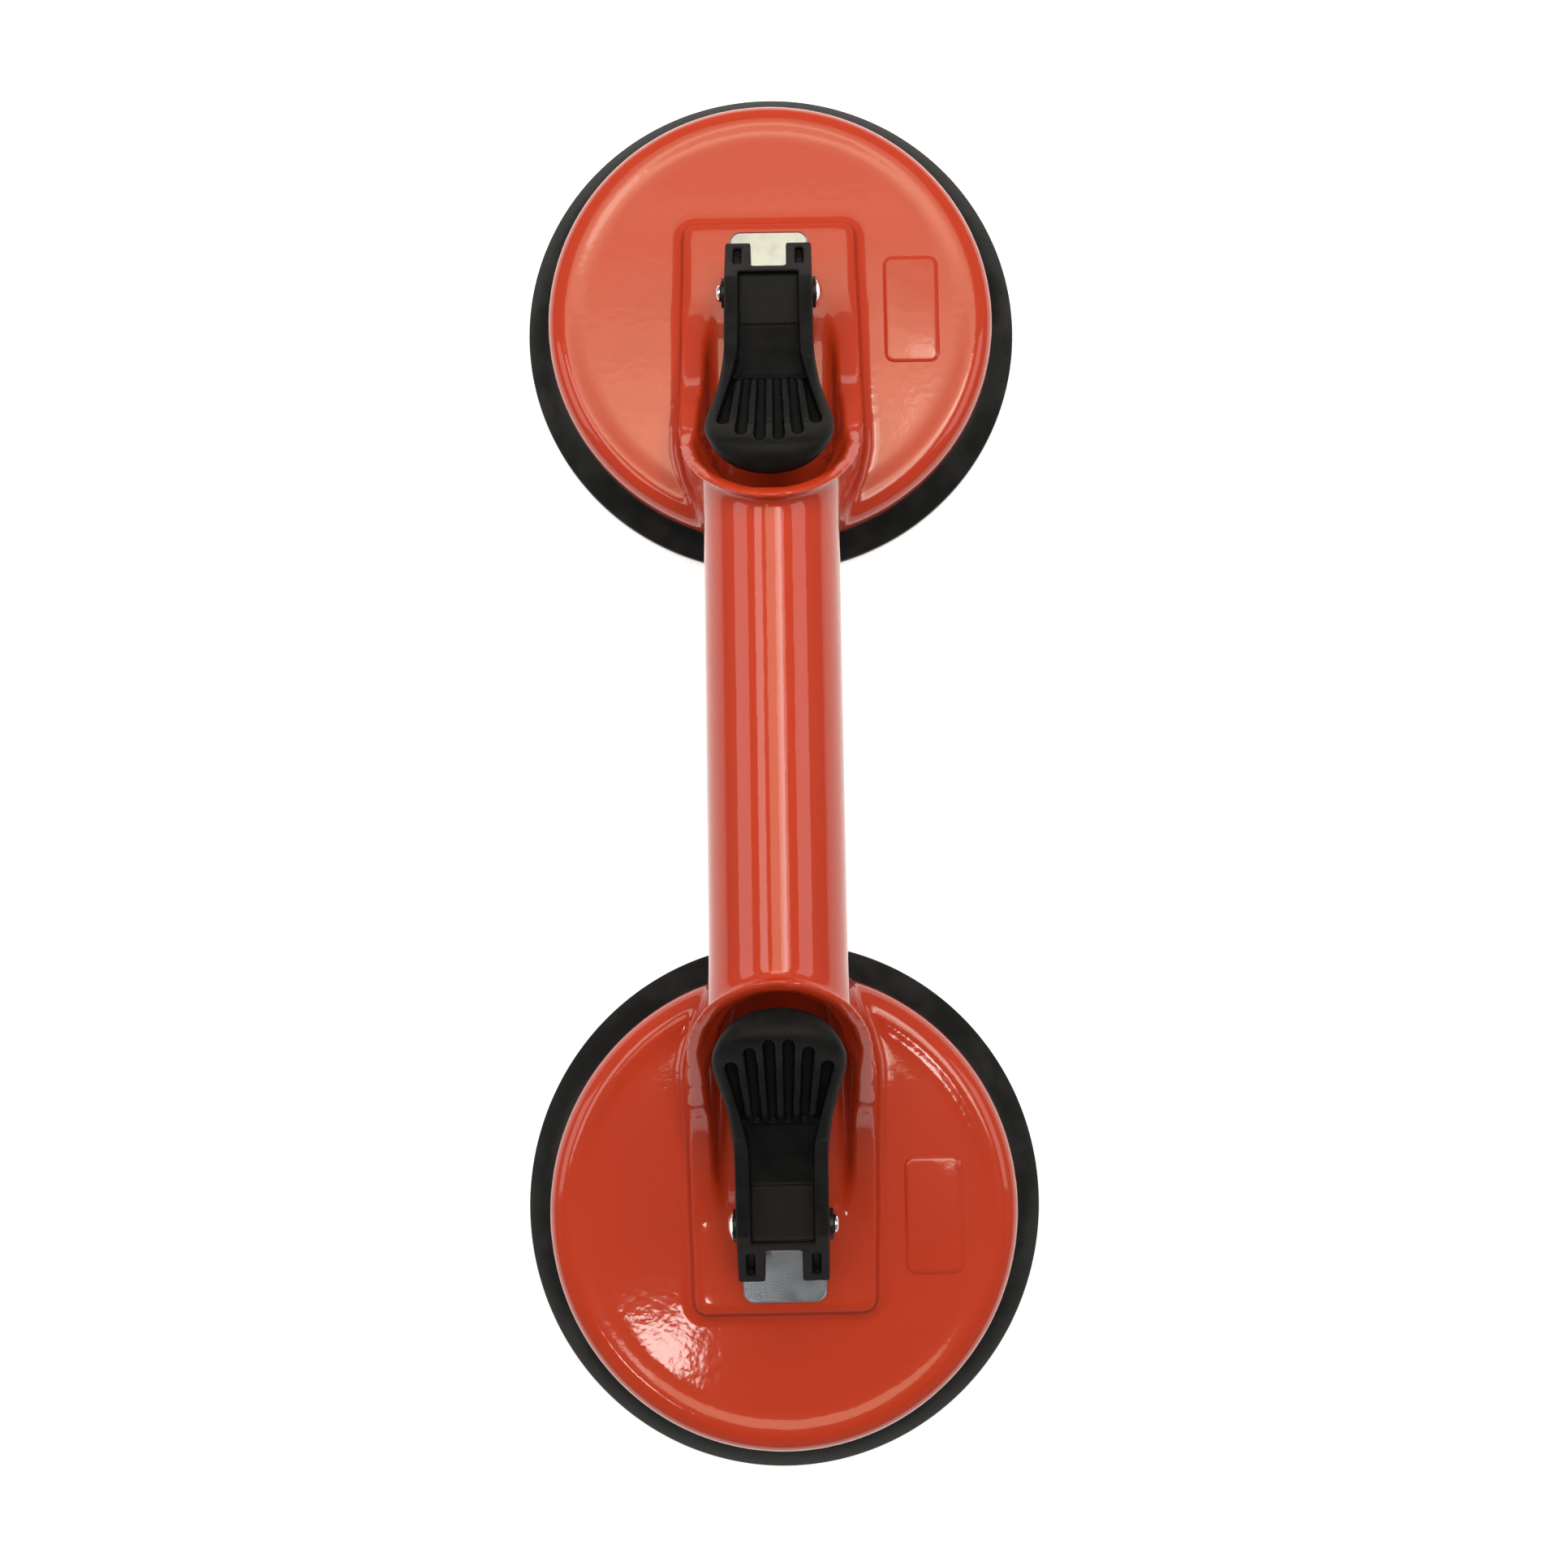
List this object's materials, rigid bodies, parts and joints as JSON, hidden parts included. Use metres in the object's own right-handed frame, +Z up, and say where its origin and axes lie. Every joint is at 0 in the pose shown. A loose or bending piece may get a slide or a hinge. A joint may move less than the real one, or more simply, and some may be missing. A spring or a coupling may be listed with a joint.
{
  "type": "floor tile suction lifter",
  "caption": "Double-cup vacuum lifter: round rubber pads under a cast body with a tubular handle; cam levers draw the pads up to grip a tile or floor panel.",
  "frame": {"origin": "on the surface that the pads lie on, midway between the two cups", "axes": "+X across the handle, +Y along the handle towards cup A, +Z up"},
  "size_m": [0.12, 0.33, 0.0688],
  "materials": {
    "orange_paint": "glossy orange-red powder coat on a light-alloy casting",
    "pad_rubber": "matte black rubber",
    "lever_plastic": "fine-textured black moulded nylon",
    "plated_steel": "bright zinc plating",
    "pin_steel": "bright nickel plating",
    "black_steel": "blackened spring steel"
  },
  "bodies": {
    "frame": {"body_casting": "orange_paint", "rubber_pad_a": "pad_rubber", "return_spring_a": "plated_steel", "spring_washer_a": "plated_steel", "wear_plate_a": "plated_steel", "rubber_pad_b": "pad_rubber", "return_spring_b": "plated_steel", "spring_washer_b": "plated_steel", "wear_plate_b": "plated_steel"},
    "pull_rod_a": {"pull_stud_a": "plated_steel", "pad_insert_a": "plated_steel", "pivot_pin_a": "pin_steel", "pin_clip_a": "black_steel", "pin_washer_a": "black_steel"},
    "cam_lever_a": {"lever_a": "lever_plastic"},
    "pull_rod_b": {"pull_stud_b": "plated_steel", "pad_insert_b": "plated_steel", "pivot_pin_b": "pin_steel", "pin_clip_b": "black_steel", "pin_washer_b": "black_steel"},
    "cam_lever_b": {"lever_b": "lever_plastic"}
  },
  "joints": [
    {"name": "pull_rod_a_slide", "type": "slide", "parent": "frame", "child": "pull_rod_a", "axis": [0, 0, -1], "range_m": [0, 0.0025], "deforming": ["rubber_pad_a", "return_spring_a"]},
    {"name": "lever_a_swing", "type": "hinge", "parent": "pull_rod_a", "child": "cam_lever_a", "pos_m": [0, 0.105, 0.036], "axis": [-1, 0, 0], "range_deg": [0, 60]},
    {"name": "pull_rod_b_slide", "type": "slide", "parent": "frame", "child": "pull_rod_b", "axis": [0, 0, -1], "range_m": [0, 0.0025], "deforming": ["rubber_pad_b", "return_spring_b"]},
    {"name": "lever_b_swing", "type": "hinge", "parent": "pull_rod_b", "child": "cam_lever_b", "pos_m": [0, -0.105, 0.036], "axis": [1, 0, 0], "range_deg": [0, 60]}
  ],
  "couplings": [
    {"joint": "pull_rod_a_slide", "follows": "lever_a_swing", "m_per_rad": 0.002387},
    {"joint": "pull_rod_b_slide", "follows": "lever_b_swing", "m_per_rad": 0.002387}
  ]
}
